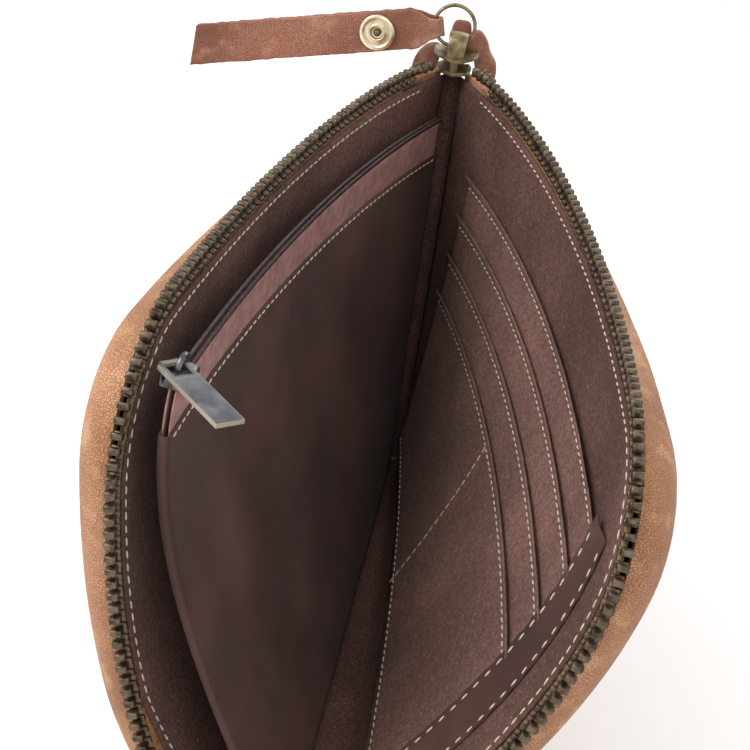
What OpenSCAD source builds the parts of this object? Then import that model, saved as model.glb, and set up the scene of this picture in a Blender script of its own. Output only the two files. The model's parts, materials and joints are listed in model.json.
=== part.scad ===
// Zipped leather pouch, standing open on its bottom fold.
// X runs along the fold from the closed end to the zipped end, the front
// cover is on the -Y side and +Z is up. Millimetres.

/* [Covers] */
// Length of the pouch along its fold
body_l = 215; // [212:1:218]
// Height of each cover from the fold to the zip teeth
body_h = 150; // [149:0.5:151]
// Radius of the rounded corner of each cover
corner_r = 34; // [30:1:38]
// Thickness of the leather
leather_t = 1.6; // [1.2:0.1:1.7]
// Thickness of the lining cloth
lining_t = 0.6; // [0.4:0.05:0.7]
// How far the leather bulges out beside the lining
belly = 10; // [6:1:11]

/* [Stance] */
// Half width of the flat fold at the closed end
fold_far = 4; // [3.8:0.1:4.5]
// Half width of the flat fold at the zipped end
fold_near = 14; // [12:0.5:15]
// Lean of the open front cover at the fold, degrees from upright
front_low = 83.3; // [78:0.1:85]
// Lean of the open front cover at its rim
front_high = -3.3; // [-5:0.1:0]
// Lean of the open back cover at the fold
back_low = 37.2; // [34:0.1:42]
// Lean of the open back cover at its rim
back_high = -6.5; // [-9:0.1:-4]

/* [Main zip] */
// Pitch of the metal teeth
tooth_pitch = 3.1; // [3:0.05:3.4]
// Length of a tooth along the zip
tooth_l = 1.5; // [1.2:0.1:1.7]
// Width of a tooth across the zip
tooth_w = 4.5; // [4:0.1:4.6]
// Thickness of a tooth
tooth_t = 2.6; // [2.2:0.1:2.7]
// Width of the zip tape beside the teeth
tape_w = 11; // [9:0.5:12]

/* [Slider and strap] */
// Length of the slider
slider_l = 13; // [12.5:0.1:13.5]
// Width of the slider's mouth
slider_w = 13; // [12.5:0.1:13.5]
// Mean radius of the ring
ring_r = 6.4; // [6.2:0.05:6.5]
// Radius of the ring's wire
ring_wire = 0.6; // [0.5:0.05:0.65]
// Free length of the strap from the ring
strap_l = 84; // [60:1:95]
// Width of the strap
strap_w = 12.6; // [11:0.1:14]
// Droop of the strap below level, degrees
strap_droop = 14; // [10:1:18]

/* [Inner pocket] */
// Height of the pocket's zip above its fold
pocket_h = 129; // [127:0.5:130]
// Distance of the pocket's near edge from the closed end
pocket_l = 208; // [205:1:209]
// Place of the pocket's slider along its zip
pull_at = 203; // [200:1:204]

/* [Card slots] */
// Height of the highest slot edge above the fold
card_top = 120.5; // [118:0.5:122]
// Step from one slot edge to the next
card_step = 13.3; // [12:0.1:13.5]
// Depth of one slot
card_depth = 58; // [54:1:60]

/* [Hidden] */
// A side is [sign of y, lean low, lean high, fade, opening, fold far,
// fold near, shift of the fold, belly].
FRONT = [-1, front_low, front_high, 0.3, 1.95, fold_far, fold_near, 0, 0];
FRONT_SKIN = [-1, front_low, front_high, 0.3, 1.95, fold_far, fold_near, 0, belly];
BACK = [1, back_low, back_high, 1.93, 1.87, fold_far, fold_near, 0, 0];
BACK_SKIN = [1, back_low, back_high, 1.93, 1.87, fold_far, fold_near, 0, belly];
POCKET = [-1, 26.9, -27, 2.8, 1.79, 0, 0, -3, 0];

// Layers, as distances inward from the plane of the teeth
lift = 2;
leather_d = -0.4 - leather_t;
tape_t = 0.5;
tape_d = -tape_t / 2;
lining_d = 0.5;
card_d = 1.3;
card_t = 0.35;
card_gap = 0.5;

// Insets from the teeth to the edge of each layer
leather_in = 3;
tape_in = 3;
lining_in = 5.5;
facing_in = 11;
seam_gap = 0.6;
hinge_gap = 1;

// Width of the leather's roll beside the zip, and its share at the closed end
roll_w = 16;
far_share = 0.35;

// The covers' straight top ends where the corner begins
straight_l = body_l - corner_r;
straight_h = body_h - corner_r;
arc_l = corner_r * PI / 2;
rim_l = straight_l + arc_l + straight_h;

// Main zip
row_start = 8;
row_end = rim_l - fold_near - 6;
twist_start = 13;
twist_end = 20;
held_teeth = 4;
front_free_u = 21;
zip_z = lift + body_h - fold_far - 0.2;
plate_t = 1.1;
low_plate_t = 0.7;
plate_gap = 3.6;
slider_x = -body_l / 2 - slider_l / 2 + 6.5;
post_r = 1.1;
bail_t = 2.6;
bail_r = 3.3;
bail_wire = 1.2;
plate_top = zip_z + plate_gap / 2 + plate_t;
bail_z = plate_top + 3.1;
ring_y = -2;
ring_drop = 3.4;
ring_z = bail_z + bail_r - ring_drop + sqrt(ring_r * ring_r - ring_y * ring_y);

// Strap
band_t = 1.4;
loop_r = 1.8;
loop_h = 5.4;
taper_l = 9;
snap_at = 24.5;
snap_r = 5.6;
snap_hole = 1.6;

// Card slots
card_far = 18;
card_near = 190;
hem_near = 197;
card_low = 22;

// Pocket
wall_t = 0.4;
wall_d = 0.9;
pocket_u = 14;
pocket_seam = 117;
coil_w = 1.4;
coil_h = 1.4;
zip_u = 36;
pocket_low = 6;
base_us = run(pocket_u, 196, 10);
flap_us = run(54, pocket_l, 9);

// Pocket slider and its tab
pull_travel = 60;
pull_top = 2;
pull_arch = 2.6;
pull_turn = 50;
pull_shift = (pull_arch + 0.4) * sin(pull_turn);
pull_l = 23;
pull_w = 6.8;
pull_t = 1;
pull_frame = 1.2;
pull_window = 4.2;

// ---- Surfaces of the covers and the pocket

function total(list) = list * [for (x = list) 1];
function unit(v) = v / norm(v);
function spread(s, u) = 1 - pow(max(0, 1 - u / body_l), s[4]);
function fold_half(s, u) = s[5] + (s[6] - s[5]) * u / body_l;
function lean(s, u, v) =
    spread(s, u) * (s[1] + (s[2] - s[1]) * pow(max(0, v) / body_h, s[3]));

// Height of the rim above the fold at u, inset by w
function rim_v(u, w) =
    let (r = corner_r - w, du = u - straight_l)
    u <= straight_l ? body_h - w : straight_h + sqrt(max(0, r * r - du * du));

// Distance from the line of the zip's teeth
function rim_gap(u, v) =
    let (du = u - straight_l, dv = v - straight_h)
    du > 0 && dv > 0 ? corner_r - norm([du, dv]) : min(body_h - v, body_l - u);

function ease(t) = let (k = min(1, max(0, t))) k * k * (3 - 2 * k);

// How far the leather rolls out beside the zip at u, v
function bulge(s, u, v) =
    let (edge = 1 - min(1, max(0, rim_gap(u, v) - leather_in) / roll_w),
         near = far_share + (1 - far_share) * ease((u - 40) / 120))
    s[8] * spread(s, u) * sqrt(1 - edge * edge) * near * ease(v / 60);

// Pinch that brings the two rims together under the slider
function pinch(s, u, v) =
    s[5] == 0 ? 0 : 1.6 * pow(max(0, 1 - u / 40), 2) * pow(max(0, v) / body_h, 4);

// Point of a side at u along the fold and v up from it
function skin(s, u, v) =
    let (b = fold_half(s, u),
         n = 14,
         dv = max(0, v - b) / n,
         leans = [for (i = [0.5:n]) lean(s, u, b + i * dv)],
         out = min(v, b) + dv * total([for (a = leans) sin(a)]),
         up = dv * total([for (a = leans) cos(a)]),
         shift = s[7] * spread(s, u) + bulge(s, u, v) - pinch(s, u, v))
    [u - body_l / 2, s[0] * (out + shift), lift + up];

function inward(s, u, v) =
    let (a = v <= fold_half(s, u) ? 90 : lean(s, u, v))
    [0, -s[0] * cos(a), sin(a)];

function at(s, u, v, d) = skin(s, u, v) + d * inward(s, u, v);

// A grid of [u, v, d] between two edges given as functions of u
function field(us, n, low, high, d) =
    [for (u = us) [for (j = [0:n]) [u, low(u) + (high(u) - low(u)) * pow(j / n, 1.2), d]]];

// Columns from u0 to the rim inset by w, closer together round the corner
function columns(u0, n, w) =
    concat([for (i = [0:n]) u0 + (straight_l - u0) * i / n],
        [for (a = [18:18:90]) straight_l + (corner_r - w) * sin(a)]);

function run(u0, u1, n) = [for (i = [0:n]) u0 + (u1 - u0) * i / n];

// The line between the part of a front wall that stays and the part that folds
function split(u) = body_h * (1 - u / body_l);

// A closed sheet of thickness t over a grid
module sheet(s, grid, t) {
    rows = len(grid);
    cols = len(grid[0]);
    n = rows * cols;
    outer = [for (row = grid) for (q = row) at(s, q[0], q[1], q[2])];
    inner = [for (row = grid) for (q = row) at(s, q[0], q[1], q[2] + t)];
    cells = [for (i = [0:rows - 2]) for (j = [0:cols - 2]) i * cols + j];
    ends = [for (i = [0:rows - 2]) i * cols];
    sides = [for (j = [0:cols - 2]) j];
    far = (rows - 1) * cols;
    top = cols - 1;
    faces = concat(
        [for (a = cells) for (f = [[a, a + 1, a + cols + 1], [a, a + cols + 1, a + cols]]) f],
        [for (c = cells) let (a = c + n)
            for (f = [[a, a + cols + 1, a + 1], [a, a + cols, a + cols + 1]]) f],
        [for (a = ends) for (f = [[a, a + cols, a + cols + n], [a, a + cols + n, a + n]]) f],
        [for (e = ends) let (b = e + top, d = e + top + cols)
            for (f = [[d, b, b + n], [d, b + n, d + n]]) f],
        [for (a = sides) for (f = [[a + 1, a, a + n], [a + 1, a + n, a + 1 + n]]) f],
        [for (j = sides) let (c = far + j)
            for (f = [[c, c + 1, c + 1 + n], [c, c + 1 + n, c + n]]) f]);
    turned = s[0] > 0 ? [for (f = faces) [f[2], f[1], f[0]]] : faces;
    polyhedron(points = concat(outer, inner), faces = turned);
}

// ---- The rim, walked from the slider round the corner to the fold

function rim(s, w) =
    let (a = (s - straight_l) / corner_r * 180 / PI)
    s < straight_l ? [s, body_h - w]
    : s < straight_l + arc_l
        ? [straight_l + (corner_r - w) * sin(a), straight_h + (corner_r - w) * cos(a)]
        : [body_l - w, straight_h - (s - straight_l - arc_l)];

function rim_point(side, s, w) = skin(side, rim(s, w)[0], rim(s, w)[1]);

// Direction in which a tooth points: along the wall, and level at the slider
function head(side, s) =
    let (k = min(1, max(0, (twist_end - s) / (twist_end - twist_start))),
         wall = unit(rim_point(side, s, 0) - rim_point(side, s, 3)))
    unit((1 - k) * wall + k * [0, -side[0], 0]);

module along_rim(side, s) {
    e2 = head(side, s);
    step = rim_point(side, s + 1, 0) - rim_point(side, s - 1, 0);
    e1 = unit(step - (step * e2) * e2);
    e3 = cross(e1, e2);
    p = rim_point(side, s, 0);
    multmatrix([[e1[0], e2[0], e3[0], p[0]], [e1[1], e2[1], e3[1], p[1]],
        [e1[2], e2[2], e3[2], p[2]], [0, 0, 0, 1]]) children();
}

module teeth(side, from, to) {
    for (s = [from:tooth_pitch:to])
        along_rim(side, s)
            translate([-tooth_l / 2, 1.6 - tooth_w, -tooth_t / 2])
                cube([tooth_l, tooth_w, tooth_t]);
}

module top_stop(side) {
    along_rim(side, row_end + tooth_pitch)
        translate([-1.2, -2.8, -1.4])
            cube([2.4, 3.6, 2.8]);
}

module tape(side) {
    grid = [for (s = run(twist_end, row_end + 5, 26)) [for (w = [tape_in, tape_in + tape_w])
        let (q = rim(s, w)) [q[0], q[1], tape_d]]];
    sheet(side, grid, tape_t);
}

// ---- Leather

function fold_edge(u) = fold_half(FRONT, u);

module fold_slab(far_x, near_x, inset, z0, t) {
    translate([0, 0, z0])
        linear_extrude(t)
            polygon([[far_x - body_l / 2, -fold_edge(far_x) + inset],
                [near_x - body_l / 2, -fold_edge(near_x) + inset],
                [near_x - body_l / 2, fold_edge(near_x) - inset],
                [far_x - body_l / 2, fold_edge(far_x) - inset]]);
}

module leather_bottom() {
    color([0.66, 0.44, 0.27])
        fold_slab(0, body_l - leather_in, 0.2, 0, leather_t);
}

module leather_end() {
    end_h = zip_z - plate_gap - plate_t - 4;
    color([0.66, 0.44, 0.27])
        translate([-body_l / 2 - 0.2 - leather_t, -fold_far - 2, 0])
            cube([leather_t, 2 * fold_far + 4, end_h]);
}

module leather_back() {
    color([0.71, 0.49, 0.33])
        sheet(BACK_SKIN, field(columns(0, 9, leather_in), 8,
            function (u) fold_half(BACK, u),
            function (u) rim_v(u, leather_in), leather_d), leather_t);
}

module leather_front_base() {
    color([0.71, 0.49, 0.33])
        sheet(FRONT_SKIN, field(run(0, 188, 12), 7,
            function (u) fold_half(FRONT, u),
            function (u) min(rim_v(u, leather_in), split(u) - seam_gap), leather_d), leather_t);
}

module leather_front_flap() {
    color([0.71, 0.49, 0.33])
        sheet(FRONT_SKIN, field(columns(front_free_u, 8, leather_in), 8,
            function (u) max(split(u), fold_half(FRONT, u)) + seam_gap,
            function (u) rim_v(u, leather_in), leather_d), leather_t);
}

// ---- Lining

function lining_edge(u) = rim_v(u, lining_in);

module lining_bottom() {
    color([0.36, 0.26, 0.24])
        fold_slab(1, body_l - facing_in, 0.6, lift - 0.2, lining_t);
}

module lining_end() {
    color([0.33, 0.24, 0.22])
        translate([-body_l / 2 + 0.1, -fold_far + 2.1, lift + lining_t + 0.3])
            cube([lining_t, 2 * fold_far - 4.2, body_h - 45]);
}

module lining_back() {
    color([0.36, 0.26, 0.24])
        sheet(BACK, field(columns(0, 9, lining_in), 14,
            function (u) fold_half(BACK, u) + 0.8,
            function (u) lining_edge(u), lining_d), lining_t);
}

module lining_front_base() {
    color([0.36, 0.26, 0.24])
        sheet(FRONT, field(run(0, 186, 12), 7,
            function (u) fold_half(FRONT, u) + 0.8,
            function (u) min(lining_edge(u), split(u) - seam_gap), lining_d), lining_t);
}

module lining_front_flap() {
    color([0.36, 0.26, 0.24])
        sheet(FRONT, field(columns(front_free_u, 8, lining_in), 8,
            function (u) max(split(u), fold_half(FRONT, u)) + seam_gap + 0.8,
            function (u) lining_edge(u), lining_d), lining_t);
}

// ---- Card slots on the back lining

module card_panel() {
    color([0.38, 0.28, 0.25])
        sheet(BACK, field(run(card_far, card_near, 9), 14,
            function (u) card_low - 2,
            function (u) card_top + 3, card_d), card_t);
}

module card_tier(k) {
    edge = card_top - (k - 1) * card_step;
    color([0.40 + 0.01 * k, 0.29, 0.26])
        sheet(BACK, field(run(card_far, card_near, 9), 8,
            function (u) edge - card_depth,
            function (u) edge, card_d + k * card_gap), card_t);
}

module card_hem() {
    color([0.34, 0.24, 0.22])
        sheet(BACK, field(run(card_near + 0.4, hem_near, 2), 6,
            function (u) card_low - 2,
            function (u) card_top + 3, card_d), 1.6);
}

// ---- Inner zipped pocket

module pocket_wall(us, low, high, d) {
    color([0.32, 0.22, 0.20])
        sheet(POCKET, field(us, 6, low, high, d), wall_t);
}

module pocket_fold() {
    color([0.32, 0.22, 0.20])
        sheet(POCKET, field(run(pocket_u, pocket_l - 2, 8), 1,
            function (u) 4,
            function (u) 4.6, -wall_d - wall_t), 2 * (wall_d + wall_t));
}

module pocket_face_base() {
    pocket_wall(base_us, function (u) pocket_low,
        function (u) min(pocket_h - 1, split(u) - hinge_gap), wall_d);
}

module pocket_back_base() {
    pocket_wall(base_us, function (u) pocket_low,
        function (u) min(pocket_h - 1, split(u) - hinge_gap), -wall_d - wall_t);
}

module pocket_face_flap() {
    pocket_wall(flap_us, function (u) max(split(u), pocket_low) + hinge_gap,
        function (u) pocket_seam, wall_d);
}

module pocket_back_flap() {
    pocket_wall(flap_us, function (u) max(split(u), pocket_low) + hinge_gap,
        function (u) pocket_seam, -wall_d - wall_t);
}

module pocket_tape(d) {
    color([0.49, 0.33, 0.31])
        sheet(POCKET, field(run(zip_u, pocket_l - 1, 9), 2,
            function (u) max(pocket_seam - 3, split(u) + hinge_gap),
            function (u) pocket_h - 0.8, d), 0.3);
}

module pocket_coil(d) {
    color([0.30, 0.20, 0.20])
        sheet(POCKET, field(run(zip_u, pocket_l - 2, 12), 1,
            function (u) pocket_h - coil_h / 2,
            function (u) pocket_h + coil_h / 2, d), coil_w);
}

// Frame on the pocket's zip at u: X towards the zipped end, Y inward, Z up
module on_pocket_zip(u) {
    p = skin(POCKET, u, pocket_h);
    e1 = unit(p - skin(POCKET, u - pull_travel, pocket_h));
    up = p - skin(POCKET, u, pocket_h - 6);
    e3 = unit(up - (up * e1) * e1);
    e2 = cross(e3, e1);
    multmatrix([[e1[0], e2[0], e3[0], p[0]], [e1[1], e2[1], e3[1], p[1]],
        [e1[2], e2[2], e3[2], p[2]], [0, 0, 0, 1]]) children();
}

module pocket_stop() {
    color([0.45, 0.42, 0.38])
        on_pocket_zip(pocket_l - 1)
            translate([-0.5, -2, -0.7])
                cube([1, 4, 1.4]);
}

module pocket_slider() {
    color([0.22, 0.22, 0.23])
        on_pocket_zip(pull_at)
            difference() {
                union() {
                    translate([-4, -3.2, -2])
                        cube([8, 6.4, pull_top + 2]);
                    translate([0, 0, pull_top])
                        arch(pull_arch, 0.8, 0.3, 1.2);
                }
                translate([-5, -2.4, -1.1])
                    cube([10, 4.8, 2.2]);
                translate([-5, -1.6, -3])
                    cube([10, 3.2, 3]);
            }
}

// The tab hangs on the near foot of the slider's arch and lies turned inward
module pocket_pull() {
    color([0.45, 0.46, 0.48])
        on_pocket_zip(pull_at)
            translate([0, 0, pull_top + 1])
                rotate([0, 0, pull_turn])
                    translate([0, -pull_shift - pull_w / 2, -pull_t / 2])
                        difference() {
                            translate([-pull_t / 2, 0, 0])
                                cube([pull_l, pull_w, pull_t]);
                            translate([pull_t / 2, pull_frame, -1])
                                cube([pull_window, pull_w - 2 * pull_frame, pull_t + 2]);
                        }
}

// ---- Main zip

module tape_front() {
    color([0.30, 0.22, 0.19]) tape(FRONT);
}

module tape_back() {
    color([0.30, 0.22, 0.19]) tape(BACK);
}

module teeth_front() {
    color([0.47, 0.41, 0.35]) teeth(FRONT, row_start + held_teeth * tooth_pitch, row_end);
}

// The first teeth of the front row, which the slider holds
module teeth_front_held() {
    color([0.47, 0.41, 0.35])
        teeth(FRONT, row_start, row_start + (held_teeth - 0.5) * tooth_pitch);
}

module teeth_back() {
    color([0.47, 0.41, 0.35]) teeth(BACK, row_start, row_end);
}

module top_stop_front() {
    color([0.60, 0.52, 0.38]) top_stop(FRONT);
}

module top_stop_back() {
    color([0.60, 0.52, 0.38]) top_stop(BACK);
}

module bottom_stop() {
    color([0.60, 0.52, 0.38])
        translate([slider_x - slider_l / 2 - 3.2, -2.6, zip_z - 1.3])
            cube([2.4, 5.2, 2.6]);
}

// Two leather tabs that close the end of the zip behind the slider
module zip_tab() {
    tab_x = slider_x - slider_l / 2 - 1;
    color([0.68, 0.46, 0.30])
        for (side = [-1, 1])
            translate([tab_x - 4.4, side * 4.4 - 0.8, zip_z - 12])
                cube([5, 1.6, 18]);
}

module slider_plate(z, t) {
    nose = slider_w / 2 - 2.2;
    translate([slider_x, 0, z])
        linear_extrude(t)
            polygon([[-slider_l / 2, -nose], [-1, -slider_w / 2], [slider_l / 2 - 1.5, -slider_w / 2],
                [slider_l / 2, 0], [slider_l / 2 - 1.5, slider_w / 2], [-1, slider_w / 2],
                [-slider_l / 2, nose]]);
}

module slider_body() {
    color([0.58, 0.53, 0.42]) {
        slider_plate(plate_top - plate_t, plate_t);
        slider_plate(zip_z - plate_gap / 2 - low_plate_t, low_plate_t);
        translate([slider_x + slider_l / 2 - 2.6, 0, zip_z - plate_gap / 2 - 0.1])
            cylinder(h = plate_gap + 0.2, r = post_r, $fn = 24);
        for (side = [-1, 1])
            translate([slider_x - slider_l / 2 + 0.6, side * (slider_w / 2 - 2.6) - 0.45,
                zip_z - plate_gap / 2 - 0.1])
                cube([3.6, 0.9, plate_gap + 0.2]);
    }
}

// An arch of width t that stands on z = 0: inner radius r, wire w, legs h high
module arch(r, w, h, t) {
    translate([0, t / 2, h])
        rotate([90, 0, 0])
            difference() {
                union() {
                    cylinder(h = t, r = r + w, $fn = 48);
                    translate([-r - w, -h, 0])
                        cube([2 * (r + w), h, t]);
                }
                translate([0, 0, -1])
                    cylinder(h = t + 2, r = r, $fn = 48);
                translate([-r, -h - r - w - 1, -1])
                    cube([2 * r, h + r + w + 1, t + 2]);
                translate([-r - w - 1, -h - r - w - 1, -1])
                    cube([2 * (r + w + 1), r + w + 1, t + 2]);
            }
}

module slider_bail() {
    color([0.72, 0.69, 0.62])
        translate([slider_x, 0, plate_top])
            arch(bail_r, bail_wire, bail_z - plate_top, bail_t);
}

module pull_ring() {
    color([0.62, 0.60, 0.52])
        translate([slider_x, ring_y, ring_z])
            rotate([0, 90, 0])
                rotate_extrude($fn = 64)
                    translate([ring_r, 0])
                        circle(r = ring_wire, $fn = 20);
}

// ---- Strap: local Y runs from the ring's centre, tilted down to the -Y side

module strap_frame() {
    translate([slider_x, ring_y, ring_z])
        rotate([strap_droop, 0, 0])
            children();
}

module strap() {
    wire_y = -ring_r;
    leg_y = wire_y - taper_l;
    outer = loop_r + band_t;
    color([0.67, 0.44, 0.35])
        strap_frame()
            difference() {
                union() {
                    translate([0, wire_y, -loop_h / 2])
                        linear_extrude(loop_h)
                            difference() {
                                union() {
                                    circle(r = outer, $fn = 40);
                                    polygon([[-outer, 0], [-band_t, leg_y - wire_y],
                                        [band_t, leg_y - wire_y], [outer, 0]]);
                                }
                                circle(r = loop_r, $fn = 40);
                                polygon([[-loop_r, 0], [0, leg_y - wire_y + 1], [loop_r, 0]]);
                            }
                    translate([0, leg_y + 0.5, 0])
                        rotate([0, 90, 0])
                            translate([0, 0, -band_t])
                                linear_extrude(2 * band_t)
                                    polygon([[-loop_h / 2, 0], [-strap_w / 2, -2],
                                        [-strap_w / 2, -strap_l + 16],
                                        [strap_w / 2, -strap_l + 12], [strap_w / 2, -2],
                                        [loop_h / 2, 0]]);
                }
                translate([-5, -snap_at, 0])
                    rotate([0, 90, 0])
                        cylinder(h = 10, r = snap_hole, $fn = 24);
            }
}

module snap_socket() {
    color([0.80, 0.76, 0.64])
        strap_frame()
            translate([band_t, -snap_at, 0])
                rotate([0, 90, 0])
                    difference() {
                        cylinder(h = 1.8, r = snap_r, $fn = 40);
                        translate([0, 0, 0.4])
                            cylinder(h = 2, r = 2.2, $fn = 32);
                    }
}

module snap_spring() {
    color([0.72, 0.55, 0.30])
        strap_frame()
            for (side = [-1, 1])
                translate([band_t + 1.1, -snap_at + side * 1.4, -1.2])
                    cylinder(h = 2.4, r = 0.25, $fn = 16);
}

module snap_cap() {
    color([0.75, 0.70, 0.58])
        strap_frame()
            translate([-band_t, -snap_at, 0])
                rotate([0, 90, 0])
                    union() {
                        translate([0, 0, -1])
                            cylinder(h = 1, r = 5, $fn = 40);
                        translate([0, 0, -0.2])
                            cylinder(h = 2 * band_t + 0.2, r = snap_hole - 0.05, $fn = 24);
                    }
}

leather_bottom();
leather_end();
leather_back();
leather_front_base();
leather_front_flap();
lining_bottom();
lining_end();
lining_back();
lining_front_base();
lining_front_flap();
card_panel();
card_tier(1);  // card_tier_1
card_tier(2);  // card_tier_2
card_tier(3);  // card_tier_3
card_tier(4);  // card_tier_4
card_hem();
pocket_fold();
pocket_face_base();
pocket_back_base();
pocket_face_flap();
pocket_back_flap();
pocket_tape(0.3);  // pocket_tape_face
pocket_tape(-0.6);  // pocket_tape_back
pocket_coil(0.1);  // pocket_coil_face
pocket_coil(-0.1 - coil_w);  // pocket_coil_back
pocket_stop();
pocket_slider();
pocket_pull();
tape_front();
tape_back();
teeth_front();
teeth_front_held();
teeth_back();
top_stop_front();
top_stop_back();
bottom_stop();
zip_tab();
slider_body();
slider_bail();
pull_ring();
strap();
snap_socket();
snap_spring();
snap_cap();
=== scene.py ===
import json
import random
from math import cos, hypot, pi, radians, sin

import bmesh
import bpy
import numpy as np
from mathutils import Matrix, Vector, noise


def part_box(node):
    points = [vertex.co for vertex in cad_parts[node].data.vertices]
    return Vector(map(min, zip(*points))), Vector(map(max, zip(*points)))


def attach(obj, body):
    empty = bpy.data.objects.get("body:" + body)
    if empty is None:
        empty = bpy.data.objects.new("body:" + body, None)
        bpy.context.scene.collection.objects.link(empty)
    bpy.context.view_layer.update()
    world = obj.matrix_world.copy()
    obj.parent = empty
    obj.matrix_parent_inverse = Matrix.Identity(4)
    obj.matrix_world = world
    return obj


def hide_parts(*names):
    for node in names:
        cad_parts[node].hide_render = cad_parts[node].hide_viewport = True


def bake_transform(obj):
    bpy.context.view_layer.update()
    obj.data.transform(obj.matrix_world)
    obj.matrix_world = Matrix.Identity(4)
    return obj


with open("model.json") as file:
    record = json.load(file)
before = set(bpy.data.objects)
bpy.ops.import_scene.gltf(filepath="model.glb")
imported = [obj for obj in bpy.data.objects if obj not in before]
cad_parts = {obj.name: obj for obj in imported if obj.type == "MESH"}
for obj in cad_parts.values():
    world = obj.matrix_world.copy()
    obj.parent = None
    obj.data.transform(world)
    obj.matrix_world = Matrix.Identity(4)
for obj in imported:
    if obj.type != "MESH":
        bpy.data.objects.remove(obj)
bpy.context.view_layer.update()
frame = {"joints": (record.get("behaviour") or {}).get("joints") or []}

random.seed(7)

# ---- Camera, floor and light
# The camera looks down into the open pouch from its unzipped end, rolled a
# little, over a pale floor and under wide soft lights.
target = Vector((-0.0650, -0.0064, 0.0553))
azimuth, elevation, roll, distance = 0.07, 0.445, 0.159, 0.495
outward = Vector((cos(elevation) * cos(azimuth), cos(elevation) * sin(azimuth), sin(elevation)))
lens = bpy.data.cameras.new("camera")
lens.lens = 74.5
lens.sensor_width = 36
lens.clip_start = 0.01
camera = bpy.data.objects.new("camera", lens)
bpy.context.scene.collection.objects.link(camera)
facing = outward.to_track_quat("Z", "Y").to_matrix().to_4x4() @ Matrix.Rotation(roll, 4, "Z")
camera.matrix_world = Matrix.Translation(target + distance * outward) @ facing
bpy.context.scene.camera = camera
bpy.context.scene.view_settings.view_transform = "Standard"


def deselect():
    if bpy.context.object and bpy.context.object.mode != "OBJECT":
        bpy.ops.object.mode_set(mode="OBJECT")
    bpy.ops.object.select_all(action="DESELECT")


deselect()
bpy.ops.mesh.primitive_plane_add(size=6, location=(0, 0, -0.0006))
floor = bpy.context.object
floor.name = "floor"
paper = bpy.data.materials.new("floor_paper")
paper.use_nodes = True
paper.node_tree.nodes["Principled BSDF"].inputs["Base Color"].default_value = (0.93, 0.93, 0.93, 1)
paper.node_tree.nodes["Principled BSDF"].inputs["Roughness"].default_value = 0.9
floor.data.materials.append(paper)

world = bpy.data.worlds.new("studio")
world.use_nodes = True
world.node_tree.nodes["Background"].inputs["Color"].default_value = (1, 1, 1, 1)
world.node_tree.nodes["Background"].inputs["Strength"].default_value = 1.0
bpy.context.scene.world = world


def soft_light(name, size, watts, place, aim):
    lamp = bpy.data.lights.new(name, "AREA")
    lamp.size = size
    lamp.energy = watts
    light = bpy.data.objects.new(name, lamp)
    bpy.context.scene.collection.objects.link(light)
    away = Vector(place) - Vector(aim)
    light.matrix_world = Matrix.Translation(place) @ away.to_track_quat("Z", "Y").to_matrix().to_4x4()


soft_light("key_light", 0.45, 5.5, (0.25, -0.55, 0.75), (0, 0, 0.08))
soft_light("near_light", 0.5, 1.0, (0.75, 0.25, 0.60), (0, 0, 0.06))
soft_light("back_light", 0.4, 1.5, (-0.60, 0.20, 0.55), (-0.1, 0, 0.14))


# ---- Back cover
# Half of one hide of split cowhide, 1.6 mm thick, folded round the bottom and
# running up to the zip; it bellies out beside the lining.
length, height, corner = 215.0, 150.0, 34.0
straight = length - corner
quarter = corner * pi / 2
rim_length = straight + quarter + height - corner
lift = 2.0
hide = 1.6
belly = 10.0
roll_w = 16.0
far_share = 0.35
back = dict(sign=1, low=37.2, high=-6.5, fade=1.93, opening=1.87, fold=(4, 14), shift=0,
            body="shell")
front = dict(sign=-1, low=83.3, high=-3.3, fade=0.3, opening=1.95, fold=(4, 14), shift=0,
             body="front_cover")
steps = 72
pinch = 1.6


def smooth(t):
    t = np.clip(t, 0, 1)
    return t * t * (3 - 2 * t)


def lean(side, spread, half, v):
    """Angle of a side from upright, in radians: flat on the fold, then easing upright."""
    steep = spread * (side["low"] + (side["high"] - side["low"]) * (v / height) ** side["fade"])
    crease = np.minimum(3.5, 0.8 * half) + 1e-6
    flat = smooth((half + crease - v) / (2 * crease))
    return np.radians(steep + (90 - steep) * flat)


def wall(side, u, v, d=0.0, bulge=0.0):
    """Points, in metres, at u along the fold and v up a side, moved d mm towards the inside."""
    u, v, d = np.broadcast_arrays(np.asarray(u, float), np.asarray(v, float), np.asarray(d, float))
    v = np.maximum(v, 0)
    spread = 1 - np.maximum(0, 1 - u / length) ** side["opening"]
    half = side["fold"][0] + (side["fold"][1] - side["fold"][0]) * u / length
    share = (np.arange(steps) + 0.5) / steps
    angles = lean(side, spread[..., None], half[..., None], v[..., None] * share)
    out = v * np.sin(angles).mean(-1)
    up = v * np.cos(angles).mean(-1)
    edge = 1 - np.clip((inset_from_rim(u, v) - 3) / roll_w, 0, 1)
    near = far_share + (1 - far_share) * smooth((u - 40) / 120)
    out = out + bulge * spread * np.sqrt(1 - edge ** 2) * near * smooth(v / 60)
    if side["fold"][0]:
        out = out - pinch * np.maximum(0, 1 - u / 40) ** 2 * (v / height) ** 4
    here = lean(side, spread, half, v)
    y = side["sign"] * (out + side["shift"] * spread - d * np.cos(here))
    return np.stack([u - length / 2, y, lift + up + d * np.sin(here)], -1) / 1000


def inset_from_rim(u, v):
    """Distance in mm from the line of the zip's teeth."""
    du = u - straight
    dv = v - (height - corner)
    round_part = corner - np.hypot(np.maximum(du, 0), np.maximum(dv, 0))
    return np.minimum(np.minimum(height - v, length - u), np.where((du > 0) & (dv > 0), round_part, 1e3))


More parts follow.
